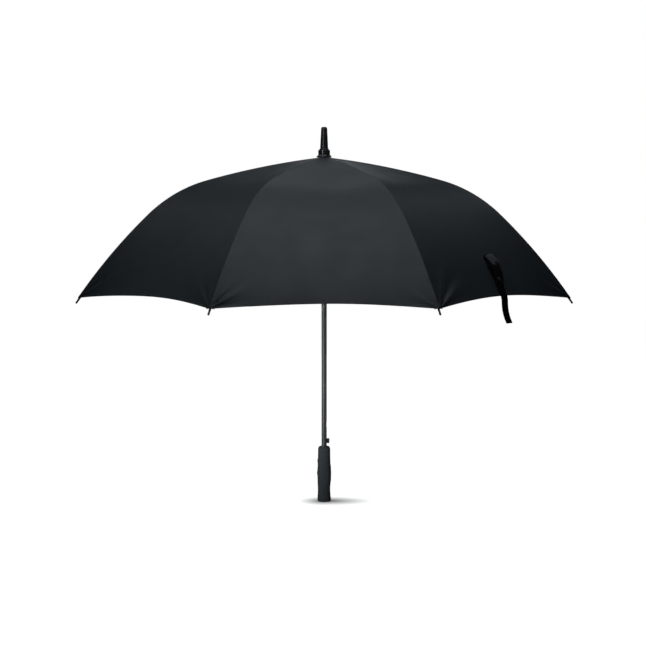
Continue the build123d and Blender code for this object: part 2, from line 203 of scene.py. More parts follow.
def bridge(first, second, sides, flip=False):
    """Faces between two rings of points, from the index of each ring's first point."""
    faces = []
    for j in range(sides):
        k = (j + 1) % sides
        quad = [first + j, first + k, second + k, second + j]
        faces.append(quad[::-1] if flip else quad)
    return faces


def ring(radius, height, sides):
    """Points round Z at that radius and height, both in millimetres."""
    return [polar(tau * j / sides, radius * MM, height * MM) for j in range(sides)]


def lathe(profile, place, sides):
    """Verts and faces of a closed (radius, height) profile in millimetres, turned about the place's Z."""
    verts = [place @ point for radius, height in profile for point in ring(radius, height, sides)]
    return verts, capped_faces(len(profile), sides)


def tube(points, radius, sides):
    """Verts and faces of a round bar along the points."""
    count = len(points)
    verts = []
    normal = None
    for i, point in enumerate(points):
        ahead = (points[min(i + 1, count - 1)] - points[max(i - 1, 0)]).normalized()
        if normal is None:
            normal = ahead.orthogonal().normalized()
        normal = (normal - ahead * normal.dot(ahead)).normalized()
        side = ahead.cross(normal)
        for j in range(sides):
            angle = tau * j / sides
            verts.append(point + (normal * cos(angle) + side * sin(angle)) * radius)
    return verts, capped_faces(count, sides)


def slab(outline, thick, place):
    """Verts and faces of a flat plate: an outline in X and Z, thick along Y, put in place."""
    count = len(outline)
    verts = [place @ Vector((x, side * thick / 2, z)) for side in (-1, 1) for x, z in outline]
    faces = [list(range(count)), list(range(count, 2 * count))[::-1]]
    for i in range(count):
        j = (i + 1) % count
        faces.append([j, i, count + i, count + j])
    return verts, faces


def join(*parts):
    """Several lots of verts and faces as one."""
    verts, faces = [], []
    for more_verts, more_faces in parts:
        first = len(verts)
        verts += more_verts
        faces += [[first + i for i in face] for face in more_faces]
    return verts, faces


def circle(cx, cz, radius, start, end, steps):
    """Points along an arc from one angle to another."""
    angles = [start + (end - start) * i / steps for i in range(steps + 1)]
    return [(cx + radius * cos(a), cz + radius * sin(a)) for a in angles]


# ---------------------------------------------------------------- materials
def shader(name, colour, roughness, specular=0.5):
    material = bpy.data.materials.new(name)
    material.use_nodes = True
    tree = material.node_tree
    surface = tree.nodes["Principled BSDF"]
    surface.inputs["Base Color"].default_value = (*colour, 1)
    surface.inputs["Roughness"].default_value = roughness
    surface.inputs["Specular IOR Level"].default_value = specular
    return material, tree, surface


def node(tree, kind, **values):
    made = tree.nodes.new(kind)
    for key, value in values.items():
        setattr(made, key, value)
    return made


def maths(tree, operation, first, second=None):
    """The output of a Math node; first and second are numbers or sockets."""
    made = node(tree, "ShaderNodeMath", operation=operation)
    for index, value in enumerate((first, second)):
        if isinstance(value, (int, float)):
            made.inputs[index].default_value = value
        elif value is not None:
            tree.links.new(value, made.inputs[index])
    return made.outputs[0]


def noise(tree, vector, scale, detail, roughness=0.5):
    made = node(tree, "ShaderNodeTexNoise")
    made.inputs["Scale"].default_value = scale
    made.inputs["Detail"].default_value = detail
    made.inputs["Roughness"].default_value = roughness
    tree.links.new(vector, made.inputs["Vector"])
    return made.outputs["Fac"]


def ramp(tree, factor, low, high, first, second):
    """A value from first to second as the factor goes from low to high."""
    made = node(tree, "ShaderNodeMapRange")
    for key, value in zip(("From Min", "From Max", "To Min", "To Max"), (low, high, first, second)):
        made.inputs[key].default_value = value
    tree.links.new(factor, made.inputs["Value"])
    return made.outputs["Result"]


def tint(tree, surface, factor, colour, dark, light):
    """Base colour between two close tones, given as shares of the colour."""
    made = node(tree, "ShaderNodeMix", data_type="RGBA")
    made.inputs["A"].default_value = (*(dark * c for c in colour), 1)
    made.inputs["B"].default_value = (*(light * c for c in colour), 1)
    tree.links.new(factor, made.inputs["Factor"])
    tree.links.new(made.outputs["Result"], surface.inputs["Base Color"])


def roughen(tree, surface, factor, low, high):
    """Roughness from low to high over the noise's middle range."""
    tree.links.new(ramp(tree, factor, 0.3, 0.7, low, high), surface.inputs["Roughness"])


def bump(tree, surface, height, distance, strength):
    made = node(tree, "ShaderNodeBump")
    made.inputs["Strength"].default_value = strength
    made.inputs["Distance"].default_value = distance
    tree.links.new(height, made.inputs["Height"])
    tree.links.new(made.outputs["Normal"], surface.inputs["Normal"])


def sheen(surface, weight, roughness):
    surface.inputs["Sheen Weight"].default_value = weight
    surface.inputs["Sheen Roughness"].default_value = roughness


def coordinates(tree):
    return node(tree, "ShaderNodeTexCoord").outputs["Object"]


# Where the hem's stitches run, from the hem, and their spacing
STITCH_LINE = 7.2 * MM
STITCH_PITCH = 3.2 * MM


def cloth_material(name, colour, thread=0.45 * MM, stitched=False, shine=0.42):
    """Plain-woven polyester: fine crossing threads, soft slubs, a slight sheen, and hem stitches."""
    material, tree, surface = shader(name, colour, 0.52, shine)
    sheen(surface, 0.28 * shine, 0.45)
    uv = node(tree, "ShaderNodeUVMap", uv_map="UVMap").outputs["UV"]
    split = node(tree, "ShaderNodeSeparateXYZ")
    tree.links.new(uv, split.inputs[0])
    across, along = split.outputs[0], split.outputs[1]
    warp = maths(tree, "SINE", maths(tree, "MULTIPLY", across, tau / thread))
    weft = maths(tree, "SINE", maths(tree, "MULTIPLY", along, tau / thread))
    weave = maths(tree, "MULTIPLY", maths(tree, "MULTIPLY", warp, weft), 0.25)
    slubs = noise(tree, coordinates(tree), 900, 3)
    waves = noise(tree, coordinates(tree), 16, 3)
    height = maths(tree, "ADD", weave, maths(tree, "MULTIPLY", slubs, 0.35))
    if stitched:
        off = maths(tree, "ABSOLUTE", maths(tree, "SUBTRACT", along, STITCH_LINE))
        line = ramp(tree, off, 0.25 * MM, 0.7 * MM, 1.0, 0.0)
        dash = maths(tree, "SINE", maths(tree, "MULTIPLY", across, tau / STITCH_PITCH))
        stitch = maths(tree, "MULTIPLY", line, ramp(tree, dash, -0.5, 0.2, 0.0, 1.0))
        height = maths(tree, "SUBTRACT", height, maths(tree, "MULTIPLY", line, 1.2))
        height = maths(tree, "ADD", height, maths(tree, "MULTIPLY", stitch, 2.4))
    patchy = maths(tree, "MULTIPLY", waves, 0.7)
    tone = maths(tree, "ADD", patchy, maths(tree, "MULTIPLY", slubs, 0.3))
    tint(tree, surface, tone, colour, 0.86, 1.14)
    roughen(tree, surface, waves, 0.44, 0.5)
    bump(tree, surface, height, 0.12 * MM, 0.6)
    return material


def plastic_material(name, colour, roughness, grain=0.04):
    """Moulded plastic: an even skin with a fine spark-eroded grain and faint handling marks."""
    material, tree, surface = shader(name, colour, roughness)
    place = coordinates(tree)
    fine = noise(tree, place, 2600, 2)
    broad = noise(tree, place, 70, 4)
    tint(tree, surface, broad, colour, 0.8, 1.2)
    roughen(tree, surface, broad, roughness - 0.06, roughness + 0.08)
    bump(tree, surface, fine, grain * MM, 0.5)
    return material


def foam_material(name, colour):
    """Moulded EVA foam: matte, with closed cells that show as a fine pebbled skin."""
    material, tree, surface = shader(name, colour, 0.82, 0.35)
    sheen(surface, 0.15, 0.6)
    place = coordinates(tree)
    cells = node(tree, "ShaderNodeTexVoronoi")
    cells.inputs["Scale"].default_value = 1100
    tree.links.new(place, cells.inputs["Vector"])
    fine = noise(tree, place, 1700, 3)
    broad = noise(tree, place, 45, 4)
    height = maths(tree, "ADD", cells.outputs["Distance"], maths(tree, "MULTIPLY", fine, 0.5))
    tint(tree, surface, broad, colour, 0.82, 1.2)
    roughen(tree, surface, broad, 0.76, 0.88)
    bump(tree, surface, height, 0.25 * MM, 0.55)
    return material


def wound_material(name, colour, pitch, roughness, depth):
    """Wound glass fibre under clear resin: two opposed helices of tape make a dotted sheen."""
    material, tree, surface = shader(name, colour, roughness, 0.6)
    surface.inputs["Coat Weight"].default_value = 0.35
    surface.inputs["Coat Roughness"].default_value = 0.16
    split = node(tree, "ShaderNodeSeparateXYZ")
    tree.links.new(coordinates(tree), split.inputs[0])
    angle = maths(tree, "ARCTAN2", split.outputs[1], split.outputs[0])
    climb = maths(tree, "MULTIPLY", split.outputs[2], tau / pitch)
    twice = maths(tree, "MULTIPLY", angle, 2.0)
    right = maths(tree, "SINE", maths(tree, "ADD", climb, twice))
    left = maths(tree, "SINE", maths(tree, "SUBTRACT", climb, twice))
    weave = maths(tree, "MULTIPLY", maths(tree, "ADD", right, left), 0.5)
    strands = noise(tree, coordinates(tree), 1500, 3)
    height = maths(tree, "ADD", weave, maths(tree, "MULTIPLY", strands, 0.3))
    tint(tree, surface, ramp(tree, weave, -1.0, 1.0, 0.0, 1.0), colour, 0.5, 1.7)
    gloss = ramp(tree, weave, -1.0, 1.0, roughness + 0.1, roughness - 0.06)
    tree.links.new(gloss, surface.inputs["Roughness"])
    bump(tree, surface, height, depth * MM, 0.7)
    return material


def rod_material(name, colour):
    """Pultruded glass fibre: fine streaks along a satin resin skin."""
    material, tree, surface = shader(name, colour, 0.34)
    place = coordinates(tree)
    fine = noise(tree, place, 900, 4, 0.7)
    broad = noise(tree, place, 60, 3)
    tint(tree, surface, fine, colour, 0.7, 1.35)
    roughen(tree, surface, broad, 0.28, 0.42)
    bump(tree, surface, fine, 0.05 * MM, 0.6)
    return material


def metal_material(name, colour, roughness):
    """Drawn or pressed steel with fine tool marks and a little dulling."""
    material, tree, surface = shader(name, colour, roughness)
    surface.inputs["Metallic"].default_value = 1.0
    place = coordinates(tree)
    marks = noise(tree, place, 1400, 3, 0.65)
    dull = noise(tree, place, 120, 4)
    tint(tree, surface, dull, colour, 0.75, 1.1)
    roughen(tree, surface, dull, roughness - 0.05, roughness + 0.14)
    bump(tree, surface, marks, 0.03 * MM, 0.5)
    return material


CANOPY = cloth_material("canopy_cloth", (0.0105, 0.0178, 0.0255), stitched=True)
TAPE = cloth_material("seam_tape_cloth", (0.0105, 0.0165, 0.023), thread=0.6 * MM)
STRAP = cloth_material("strap_cloth", (0.0022, 0.0026, 0.0034), thread=0.7 * MM, shine=0.07)
# The strap's folded underlayer, coloured darker than the strap's own cloth: painted shade beside the strap
STRAP_UNDERLAYER_SHADE = cloth_material("strap_underlayer_shade_cloth", (0.0012, 0.0014, 0.0018), thread=0.7 * MM, shine=0.04)
PATCH = cloth_material("strap_patch_cloth", (0.05, 0.056, 0.062), thread=0.9 * MM)
FOAM = foam_material("grip_foam_skin", (0.034, 0.040, 0.045))
SHAFT = wound_material("shaft_wound_fibre", (0.022, 0.022, 0.023), pitch=5.3 * MM, roughness=0.3, depth=0.18)
ROD = rod_material("rod_fibre", (0.03, 0.031, 0.033))
FITTING = plastic_material("fitting_nylon", (0.02, 0.0205, 0.0215), roughness=0.42)
TOP = plastic_material("top_plastic_skin", (0.022, 0.023, 0.025), roughness=0.3)
BUTTON = plastic_material("button_plastic_skin", (0.02, 0.021, 0.023), roughness=0.28)
TIP = plastic_material("tip_plastic_skin", (0.07, 0.073, 0.077), roughness=0.36)
STEEL = metal_material("spring_steel_wire", (0.42, 0.42, 0.43), roughness=0.28)
HEAD = metal_material("rib_head_steel", (0.16, 0.163, 0.17), roughness=0.36)
SNAP = metal_material("snap_gunmetal", (0.11, 0.115, 0.12), roughness=0.3)


# ---------------------------------------------------------------- camera
EYE_DISTANCE = 3.330
EYE_HEIGHT = 0.7687
EYE_SIDE = -0.003
EYE_PITCH = radians(4.993)
LENS = 70.42
SENSOR = 36


def camera():
    data = bpy.data.cameras.new("camera")
    data.lens = LENS
    data.sensor_width = SENSOR
    data.clip_end = 100
    made = put("camera", data)
    made.location = (EYE_SIDE, -EYE_DISTANCE, EYE_HEIGHT)
    made.rotation_euler = (pi / 2 - EYE_PITCH, 0, 0)
    bpy.context.scene.camera = made


# ---------------------------------------------------------------- canopy
# Short folds by the ribs' tips: their reach, height and strength by (gore, side of the gore)
FOLD_REACH = 130 * MM
FOLD_HEIGHT = 2.3 * MM
USUAL_STRENGTH = 0.8
FOLD_STRENGTHS = {(7, -1): 0.95, (7, 1): 0.5, (8, -1): 2.0, (8, 1): 0.7, (6, 1): 0.5, (6, -1): 0.7}
# Ridges, and valleys with a minus: (degrees above the hem, width in degrees, height)
USUAL_FOLDS = [(43, 7, 1.0), (66, 8, 0.75), (54.5, 6, -0.8), (18, 9, -0.5)]
DEEP_FOLDS = [(31, 7, 1.0), (59, 8, 0.75), (45, 7, -1.2), (18, 9, -0.2)]
DEEP_CORNER = (8, -1)


def corner_fold(gore, side, along_hem, up):
    """How far the cloth stands off near a rib's tip, where it is pulled into short folds."""
    reach = hypot(along_hem, up)
    if reach > FOLD_REACH or reach < 1e-5:
        return 0.0
    strength = FOLD_STRENGTHS.get((gore, side), USUAL_STRENGTH)
    size = 24 * MM * (0.8 + 0.25 * strength)
    grow = (reach / size) * exp(1 - reach / size)
    angle = atan2(up, along_hem)
    folds = DEEP_FOLDS if (gore, side) == DEEP_CORNER else USUAL_FOLDS
    shape = sum(height * bell(angle, radians(middle), radians(width)) for middle, width, height in folds)
    return FOLD_HEIGHT * strength * grow * shape


def gore_point(gore, s, v, inward=0.0):
    """A point on a gore: s along the seam, v from -1 to 1 across, with its sag and folds."""
    x, z, slope = seam(s)
    plane = x * cos(HALF)
    side = v * x * sin(HALF)
    hem_far = SEAM_LENGTH - s
    edge = (1 - abs(v)) * x * sin(HALF)
    sag = SAG * (1 - v * v) * smooth(0, 0.25, s)
    ease = EASE * sin(3.1 * v + gore) * (1 - v * v) * smooth(0.35, 0.7, s)
    out = corner_fold(gore, 1 if v > 0 else -1, edge, hem_far) - sag + ease - inward
    if hem_far < HEM_WIDTH:
        out += HEM_FOLD
    return polar(gore_azimuth(gore), plane + out * sin(slope), z + out * cos(slope), side)


def gore_panel(gore, start, end, rows, hemmed):
    """One panel of a gore as a thin closed shell; rows are places from 0 to 1 between its ends."""
    rise = HEM_RISES.get(gore, HEM_RISE) / sin(seam(end)[2])
    columns = 73
    verts, uvs = [], []
    for layer in (0, 1):
        for row in rows:
            for j in range(columns):
                v = sin(pi / 2 * (2 * j / (columns - 1) - 1))
                finish = end - (rise * (1 - v * v) if hemmed else 0)
                s = start + (finish - start) * row
                verts.append(gore_point(gore, s, v, CLOTH * layer))
                uvs.append((v * seam(s)[0] * sin(HALF), finish - s if hemmed else 1 - s))
    return verts, shell_faces(len(rows), columns), uvs


def gore_area(length, steps):
    """The area of a gore down to that length of its seam."""
    step = length / steps
    return 2 * sin(HALF) * sum(seam((i + 0.5) * step)[0] * step for i in range(steps))


# The outer panels' last rows, closer and closer, by their distance from the hem in millimetres
HEM_ROWS = [0, 1.5, 3.5, 6, 8.7, 9.3, 11, 14, 17.5, 21.5, 26, 31, 37, 44, 52, 61, 71, 83, 97]
EVEN_ROWS_END = 115 * MM


def canopy():
    """Each gore as an inner and an outer panel that fold in towards the shaft as it closes."""
    outer = SEAM_LENGTH - KNEE_S
    inner_rows = [i / 26 for i in range(27)]
    outer_rows = [i / 20 * (1 - EVEN_ROWS_END / outer) for i in range(21)]
    outer_rows += [1 - place * MM / outer for place in reversed(HEM_ROWS)]
    inner_area = gore_area(KNEE_S, 40)
    outer_area = gore_area(SEAM_LENGTH, 60) - inner_area
    panels = (
        ("inner", 0, KNEE_S, inner_rows, inner_area),
        ("outer", KNEE_S, SEAM_LENGTH, outer_rows, outer_area),
    )
    for gore in range(1, RIBS + 1):
        for part, start, end, rows, area in panels:
            verts, faces, uvs = gore_panel(gore, start, end, rows, part == "outer")
            name = f"gore_{part}_{gore}"
            piece = make(name, verts, faces, CANOPY, slot="canopy_fabric", sharp=50, uvs=uvs)
            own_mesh(piece)
            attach(piece, f"canopy_{part}_{gore}")
            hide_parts(f"canopy_{part}_{gore}")
            width = 2 * seam(end)[0] * sin(HALF)


# Cross-sections, as (across, depth under the seam in millimetres), of the tape and of the seam's welt;
# across is a share of the tape's half width, or millimetres of the welt
TAPE_SHAPE = [(-1, 0.62), (-0.5, 0.62), (-0.16, 0.6), (0, 0.6), (0.16, 0.6), (0.5, 0.62), (1, 0.62)]
TAPE_SHAPE += [(1, 0.9), (0.5, 0.95), (0.16, 0.95), (0, 0.95), (-0.16, 0.95), (-0.5, 0.95), (-1, 0.9)]
WELT_SHAPE = [(-1.3, 0.42), (-0.9, 0.1), (-0.35, -0.1), (0.35, -0.1), (0.9, 0.1), (1.3, 0.42), (0, 0.5)]
TAPE_HALF = 10 * MM
STRIP_STEPS = 90
STRIP_END = 2 * MM


def seam_strip(name, number, shape, material, tape):
    """A strip along the seam; a tape also narrows towards the crown and follows the cloth down."""
    azimuth = rib_azimuth(number)
    verts, uvs = [], []
    for i in range(STRIP_STEPS + 1):
        s = STRIP_END + (SEAM_LENGTH - 2 * STRIP_END) * i / STRIP_STEPS
        x, z, slope = seam(s)
        half_width, fall = MM, 0.0
        if tape:
            half_width = TAPE_HALF * min(1.0, 0.25 + s / 0.04)
            fall = tan(HALF) * sin(slope) + 0.045
        for across, depth in shape:
            side = across * half_width
            down = depth * MM + abs(side) * fall
            verts.append(polar(azimuth, x - down * sin(slope), z - down * cos(slope), side))
            uvs.append((side, s))
    faces = capped_faces(STRIP_STEPS + 1, len(shape), flip=True)
    piece = make(name, verts, faces, material, slot="canopy_fabric", sharp=60, uvs=uvs)
    bend_over_knee(piece)


def seam_tape(number):
    """A tape under the seam, with the felled seam itself as a low welt on top."""
    seam_strip(f"seam_tape_{number}", number, TAPE_SHAPE, TAPE, True)
    seam_strip(f"seam_welt_{number}", number, WELT_SHAPE, CANOPY, False)


# ---------------------------------------------------------------- ribs
def bend_over_knee(piece):
    """The piece's placement baked into its mesh; the points KNEE_BEND above and below the knee are found but
    not used, so nothing bends.
    """
    ends = [seam(KNEE_S + shift, ROD_DEPTH) for shift in (-KNEE_BEND, KNEE_BEND)]
    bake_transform(piece)


def rib_frame(number, s):
    """A frame on the rib: X out along it, Y across, Z up."""
    azimuth = rib_azimuth(number)
    x, z, slope = seam(s, ROD_DEPTH)
    turn = Matrix.Rotation(azimuth, 4, "Z") @ Matrix.Rotation(slope, 4, "Y")
    return Matrix.Translation(polar(azimuth, x, z)) @ turn


def rib(number):
    """The rod, with its head, bracket and tip."""
    azimuth = rib_azimuth(number)
    length = SEAM_LENGTH - 2 * MM - ROD_START
    stops = [ROD_START + length * i / 80 for i in range(81)]
    points = [polar(azimuth, *seam(s, ROD_DEPTH)[:2]) for s in stops]
    piece = make(f"rib_{number}", *tube(points, ROD_R, 14), ROD, slot="rib_fibreglass")
    bend_over_knee(piece)
    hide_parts(f"rib_inner_{number}", f"rib_outer_{number}")
    head(number)
    bracket(number)
    tip(number)


# Profiles as (radius, height) in millimetres: the head's socket, the bracket's sleeve and rivet, the tip
SOCKET = [(0, 13.2), (1.9, 13.2), (2.6, 14.2), (2.8, 15), (2.8, 19), (2.45, 19.6), (2.45, 20.6)]
SOCKET += [(2.8, 21.2), (2.8, 24), (2.45, 24.6), (2.45, 25.6), (2.8, 26.2), (2.8, 29.4), (2.4, 30)]
SLEEVE = [(2.02, -8), (2.7, -8), (2.9, -7.4), (2.9, -4.6), (2.6, -4.2), (2.6, -3.6), (2.9, -3.2)]
SLEEVE += [(2.9, 3.2), (2.6, 3.6), (2.6, 4.2), (2.9, 4.6), (2.9, 7.4), (2.7, 8), (2.02, 8)]
RIVET = [(0.05, -3.2), (1.3, -3.1), (1.9, -2.75), (2.0, -2.35), (1.2, -2.3)]
RIVET += [(1.2, 2.3), (2.0, 2.35), (1.9, 2.75), (1.3, 3.1), (0.05, 3.2)]
TIP_CAP = [(2.02, -12), (2.45, -11.6), (2.6, -10.6), (2.6, -6), (2.2, -5.4), (2.2, -4.4), (2.6, -3.8)]
TIP_CAP += [(2.6, 1), (2.35, 3), (2.3, 9), (2.5, 10.5), (2.45, 11.8), (2.0, 12.9), (1.1, 13.5), (0.2, 13.65)]
# The radius of the sewing thread's turns round the tip, and of the thread
THREAD_COIL = 2.5 * MM
THREAD_R = 0.28 * MM


def head(number):
    """The forged head: an eye on the crown's wire, a flat neck and a socket crimped on the rod."""
    place = rib_frame(number, 0)
    outline = circle(0, 0, 2.7 * MM, radians(48), radians(312), 20)
    outline += [(4 * MM, -1.7 * MM), (15 * MM, -1.9 * MM), (15 * MM, 1.7 * MM), (4 * MM, 1.6 * MM)]
    plate = slab(outline, 2.2 * MM, place)
    lean = place @ Matrix.Translation((0, 0, -0.05 * MM)) @ Matrix.Rotation(pi / 2, 4, "Y")
    parts = join(plate, lathe(SOCKET, lean, 20))
    make(f"rib_head_{number}", *parts, HEAD, f"rib_inner_{number}", "rib_fibreglass", 30)


def bracket(number):
    """The clip crimped on the rib, with two ears and the rivet that the stretcher turns on."""
    place = rib_frame(number, BRACKET_S)
    parts = [lathe(SLEEVE, place @ Matrix.Rotation(pi / 2, 4, "Y"), 24)]
    outline = [(-5.5 * MM, -1.4 * MM)]
    outline += circle(0, -BRACKET_DROP, 3.2 * MM, radians(180), radians(360), 18)
    outline += [(5.5 * MM, -1.4 * MM)]
    for side in (-1, 1):
        ear = place @ Matrix.Translation((0, side * 1.8 * MM, 0))
        parts.append(slab(outline, 1.0 * MM, ear))
    body = f"rib_inner_{number}"
    make(f"rib_bracket_{number}", *join(*parts), HEAD, body, "rib_fibreglass", 30)
    across = place @ Matrix.Translation((0, 0, -BRACKET_DROP)) @ Matrix.Rotation(pi / 2, 4, "X")
    make(f"rib_rivet_{number}", *lathe(RIVET, across, 18), STEEL, body, "spring_steel", 30)


def tip(number):
    """The moulded cap on the rib's end, with a rounded nose, sewn to the canopy's corner with thread."""
    place = rib_frame(number, SEAM_LENGTH) @ Matrix.Rotation(pi / 2, 4, "Y")
    body = f"rib_outer_{number}"
    make(f"rib_tip_{number}", *lathe(TIP_CAP, place, 20), TIP, body, "rib_fibreglass", 35)
    turns, steps, start, pitch = 5, 12, -5.5 * MM, 0.24 * MM
    points = []
    for i in range(turns * steps):
        points.append(place @ polar(tau * i / steps, THREAD_COIL, start + pitch * i / steps))
    verts, faces = tube(points, THREAD_R, 6)
    uvs = [(0.0, 0.0)] * len(verts)
    make(f"tip_thread_{number}", verts, faces, STRAP, body, "canopy_fabric", 60, uvs=uvs)


# ---------------------------------------------------------------- springs
# Radius of the coil and of its wire, for the opening spring and for the button's spring
OPENING_COIL, OPENING_WIRE = 8.1 * MM, 0.58 * MM
BUTTON_COIL, BUTTON_WIRE = 1.65 * MM, 0.3 * MM


def opening_spring():
    """A round-wire coil between the runner and the spring collar, with closed end turns."""
    low, high = RUNNER_TOP + 0.8 * MM, COLLAR_FOOT - 0.8 * MM
    turns, steps = 24, 22
    closed, closed_rise = 2.0 / turns, 0.02
    points = []
    for i in range(turns * steps + 1):
        share = i / (turns * steps)
        if share < closed:
            rise = closed_rise * share / closed
        elif share > 1 - closed:
            rise = 1 - closed_rise * (1 - share) / closed
        else:
            rise = closed_rise + (1 - 2 * closed_rise) * (share - closed) / (1 - 2 * closed)
        points.append(polar(tau * turns * share, OPENING_COIL, low + (high - low) * rise))
    piece = make("opening_coil", *tube(points, OPENING_WIRE, 8), STEEL, slot="spring_steel")
    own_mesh(piece)
    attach(piece, "runner")
    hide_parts("opening_spring")


def button_spring():
    """The small coil behind the button."""
    low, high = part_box("button_spring")
    turns, steps = 6, 16
    start, length = low.x + 0.35 * MM, high.x - low.x - 0.7 * MM
    middle = (low.z + high.z) / 2
    points = []
    for i in range(turns * steps + 1):
        share = i / (turns * steps)
        angle = tau * turns * share
        y, z = BUTTON_COIL * cos(angle), middle + BUTTON_COIL * sin(angle)
        points.append(Vector((start + length * share, y, z)))
    piece = make("button_coil", *tube(points, BUTTON_WIRE, 8), STEEL, slot="spring_steel")
    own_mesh(piece)
    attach(piece, "root")
    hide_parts("button_spring")


# ---------------------------------------------------------------- handle
# Half widths of the foam by height up to its top, in millimetres: the finger side (-X), the palm side (+X)
HANDLE_TOP = 147.7
FINGER_SIDE = [(0, 17.2), (5, 17.9), (13, 17.5), (24, 17.0), (33, 16.9), (52, 17.6), (66, 17.9), (76, 19.2)]
FINGER_SIDE += [(86, 17.9), (95, 17.3), (101, 17.4), (109, 18.2), (118, 16.6), (128, 16.4), (141, 16.3)]
FINGER_SIDE += [(146, 15.0), (HANDLE_TOP, 12.6)]
PALM_SIDE = [(0, 17.3), (4, 18.5), (14, 17.3), (26, 16.4), (36, 16.4), (46, 17.1), (58, 18.6), (76, 18.9)]
PALM_SIDE += [(90, 18.5), (104, 16.8), (128, 16.4), (141, 16.3), (146, 15.0), (HANDLE_TOP, 12.6)]
# The foam's edges round the core, as (radius, height) in millimetres
TOP_EDGE = [(12.0, 147.4), (7.2, 147.2), (7.2, 140)]
FOOT_EDGE = [(16.6, 0.0), (12.2, 0.0), (12.0, 0.8), (11.9, 1.2)]
# The button's pad: its height, its width and its edge's distance from the shaft's axis
PAD_HEIGHT = 14.4 * MM
PAD_WIDTH = 9 * MM
PAD_EDGE = 10.4 * MM


def grip():
    """Foam handle: two finger ridges on one side and a palm swell on the other."""
    sides, rows = 96, 170
    verts = []
    for i in range(rows + 1):
        height = HANDLE_TOP * i / rows
        finger, palm = spread(FINGER_SIDE, height), spread(PALM_SIDE, height)
        flank = (finger + palm) / 2 - 0.5 * smooth(30, 60, height)
        for j in range(sides):
            angle = tau * j / sides
            c = cos(angle)
            radius = flank + (palm - flank) * max(0, c) ** 2 + (finger - flank) * max(0, -c) ** 2
            verts.append(polar(angle, radius * MM, height * MM))
    faces = grid_faces(rows + 1, sides, wrap=True)
    top = len(verts)
    for radius, height in TOP_EDGE:
        verts += ring(radius, height, sides)
    faces += bridge(rows * sides, top, sides)
    faces += grid_faces(len(TOP_EDGE), sides, first=top, wrap=True)
    foot = len(verts)
    for radius, height in FOOT_EDGE:
        verts += ring(radius, height, sides)
    faces += bridge(0, foot, sides, flip=True)
    faces += grid_faces(len(FOOT_EDGE), sides, first=foot, wrap=True, flip=True)
    piece = make("grip_foam_handle", verts, faces, FOAM, "root", "grip_foam", 60)
    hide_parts("grip")


def button():
    """The push button: a rounded thumb pad with a shallow groove across its middle, on a flat stem."""
    middle = (BUTTON_LOW.z + BUTTON_HIGH.z) / 2
    rows, columns = 40, 28
    verts = []
    for i in range(rows + 1):
        u = 2 * i / rows - 1
        for j in range(columns + 1):
            v = 2 * j / columns - 1
            rim = max(0.0, 1 - abs(u) ** 3.2) ** 0.42 * max(0.0, 1 - abs(v) ** 3.0) ** 0.42
            groove = 0.9 * MM * bell(u, 0, 0.16) * rim
            x = PAD_EDGE + (BUTTON_HIGH.x - PAD_EDGE) * rim - groove
            verts.append(Vector((x, v * PAD_WIDTH / 2, middle + u * PAD_HEIGHT / 2)))
    faces = grid_faces(rows + 1, columns + 1, flip=True)
    first = len(verts)
    for i in (0, rows):
        for j in range(columns + 1):
            source = verts[i * (columns + 1) + j]
            verts.append(Vector((PAD_EDGE - 0.2 * MM, source.y, source.z)))
    faces.append(list(range(first, first + columns + 1)) + list(range(len(verts) - 1, first + columns, -1)))
    low, high, start = -6 * MM, 6 * MM, 1.1 * MM
    outline = [(start, low), (PAD_EDGE, low), (PAD_EDGE, high), (start, high)]
    stem = slab(outline, 7 * MM, Matrix.Translation((0, 0, middle)))
    piece = make("button_pad", *join((verts, faces), stem), BUTTON, "button", "button_plastic", 35)
    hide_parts("button")


# ---------------------------------------------------------------- strap
STRAP_GORE = 8
STRAP_BODY = f"canopy_outer_{STRAP_GORE}"
# The strap's length on the gore, the points along that, and its free end: (out, down) from the hem in mm
STRAP_SEWN = 118 * MM
STRAP_POINTS = 15
STRAP_FREE = ((2.2, 7), (2.8, 17), (3.8, 29), (6.6, 41), (11.2, 53), (17.0, 63.5))
# Widths, and how far to the side, of the strap and of its folded underlayer, by the share of the length; the
# underlayer reaches out past the strap's left edge and is coloured darker than the strap, as painted shade
STRAP_WIDTHS = [(0, 24 * MM), (0.05, 31 * MM), (0.3, 30 * MM), (0.64, 24 * MM), (1, 23 * MM)]
STRAP_LEANS = [(0, 31 * MM), (0.06, 31 * MM), (0.25, 22 * MM), (0.64, -2 * MM), (1, -2 * MM)]
UNDERLAYER_SHADE_WIDTHS = [(0, 30 * MM), (0.07, 42 * MM), (0.4, 37 * MM), (1, 23 * MM)]
UNDERLAYER_SHADE_LEANS = [(0, 24 * MM), (0.07, 24 * MM), (0.4, 14 * MM), (1, -3 * MM)]
# The band's cross-section: (share of its half width, millimetres of thickness)
BAND_SHAPE = [(-1, 0.25), (-0.97, 0.6), (-0.86, 0.72), (-0.3, 0.55), (0.3, 0.55), (0.86, 0.72), (0.97, 0.6)]
BAND_SHAPE += [(1, 0.25), (1, -0.3), (0.86, -0.6), (0, -0.6), (-0.86, -0.6), (-1, -0.3)]
STRAP_LIFT, UNDERLAYER_SHADE_LIFT = 0.9 * MM, -0.7 * MM
# Press studs: (point of the strap, height over it, distance to its left), and their profile in millimetres
STUDS = ((3, 3.6 * MM, 31 * MM), (9, 1.7 * MM, 9 * MM))
STUD = [(6, 0), (6.1, 0.5), (5.7, 1.1), (5.2, 1.3), (4.9, 1.15), (4.5, 1.2), (3.2, 1.7), (1.6, 2.0)]
STUD += [(0.1, 2.05)]
STUD_SCALE = 0.85
# The patch: its place in the same terms, its turn in that place, half its width, and its thickness
PATCH_PLACE = (2, 2.0 * MM, 28 * MM)
PATCH_TURN = radians(14)
PATCH_HALF = 16 * MM
PATCH_THICK = 1.4 * MM


